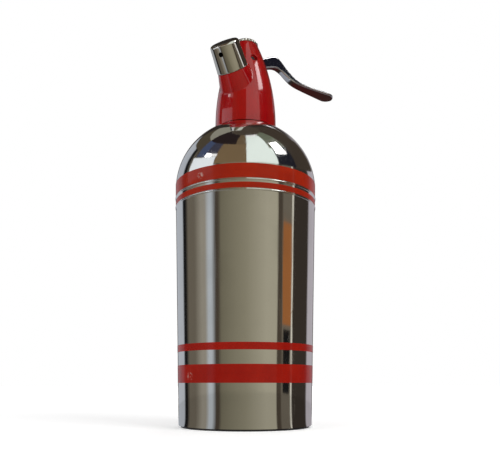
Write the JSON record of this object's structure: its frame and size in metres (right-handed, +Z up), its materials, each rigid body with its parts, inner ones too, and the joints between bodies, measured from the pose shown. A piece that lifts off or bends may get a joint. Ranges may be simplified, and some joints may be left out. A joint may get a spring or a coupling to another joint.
{
  "type": "soda siphon",
  "caption": "Lever soda siphon: chromed bottle with enamelled bands, red head with a raised capped spout, thumb lever, push-down valve and dip tube.",
  "frame": {"origin": "centre of the recess inside the foot ring, level with the surface that the bottle stands on, on the bottle's axis", "axes": "+Z up along the bottle's axis, +X from the axis out along the thumb lever; the spout leaves at 210 degrees round +Z and rises 47 degrees"},
  "size_m": [0.1331, 0.1002, 0.2816],
  "materials": {
    "chrome": "bright chrome plate",
    "red_enamel": "glossy red enamel",
    "band_enamel": "satin red enamel",
    "brass": "machined",
    "plain_steel": "plain stainless",
    "black_rubber": "matt",
    "white_plastic": "moulded"
  },
  "bodies": {
    "bottle": {"bottle_shell": "chrome", "bottle_bottom": "plain_steel", "foot_ring": "black_rubber", "upper_wide_band": "band_enamel", "upper_narrow_band": "band_enamel", "lower_narrow_band": "band_enamel", "lower_wide_band": "band_enamel", "neck_ring": "brass", "neck_gasket": "black_rubber"},
    "head": {"head_housing": "red_enamel", "coupling_insert": "brass", "valve_body": "brass", "tube_nut": "brass", "dip_tube": "plain_steel", "tube_strainer": "white_plastic", "stem_gland": "brass", "gland_ring": "black_rubber", "lever_pin": "plain_steel", "top_plug": "brass", "valve_spring": "plain_steel", "spout_nose": "brass", "flow_disc": "white_plastic", "spout_washer": "black_rubber"},
    "lever_arm": {"lever": "chrome"},
    "stem": {"valve_stem": "plain_steel", "stem_button": "plain_steel", "valve_washer": "black_rubber", "washer_nut": "brass"},
    "spout_cap": {"spout_cap": "chrome"},
    "top_cap": {"top_cap": "chrome"}
  },
  "joints": [
    {"name": "head_lift", "type": "slide", "parent": "bottle", "child": "head", "axis": [0, 0, 1], "range_m": [0, 0.21]},
    {"name": "lever_press", "type": "hinge", "parent": "head", "child": "lever_arm", "pos_m": [-0.002, 0, 0.2625], "axis": [0, 1, 0], "range_deg": [0, 14], "stiffness_Nm_per_rad": 0.2, "springref_deg": -17.19},
    {"name": "stem_travel", "type": "slide", "parent": "head", "child": "stem", "axis": [0, 0, 1], "range_m": [-0.0014, 0], "deforming": ["valve_spring"]},
    {"name": "spout_cap_pull", "type": "slide", "parent": "head", "child": "spout_cap", "axis": [-0.5906, -0.341, 0.7314], "range_m": [0, 0.022]},
    {"name": "top_cap_lift", "type": "slide", "parent": "head", "child": "top_cap", "axis": [0, 0, 1], "range_m": [0, 0.012]}
  ],
  "couplings": [
    {"joint": "stem_travel", "follows": "lever_press", "m_per_rad": -0.0055}
  ]
}
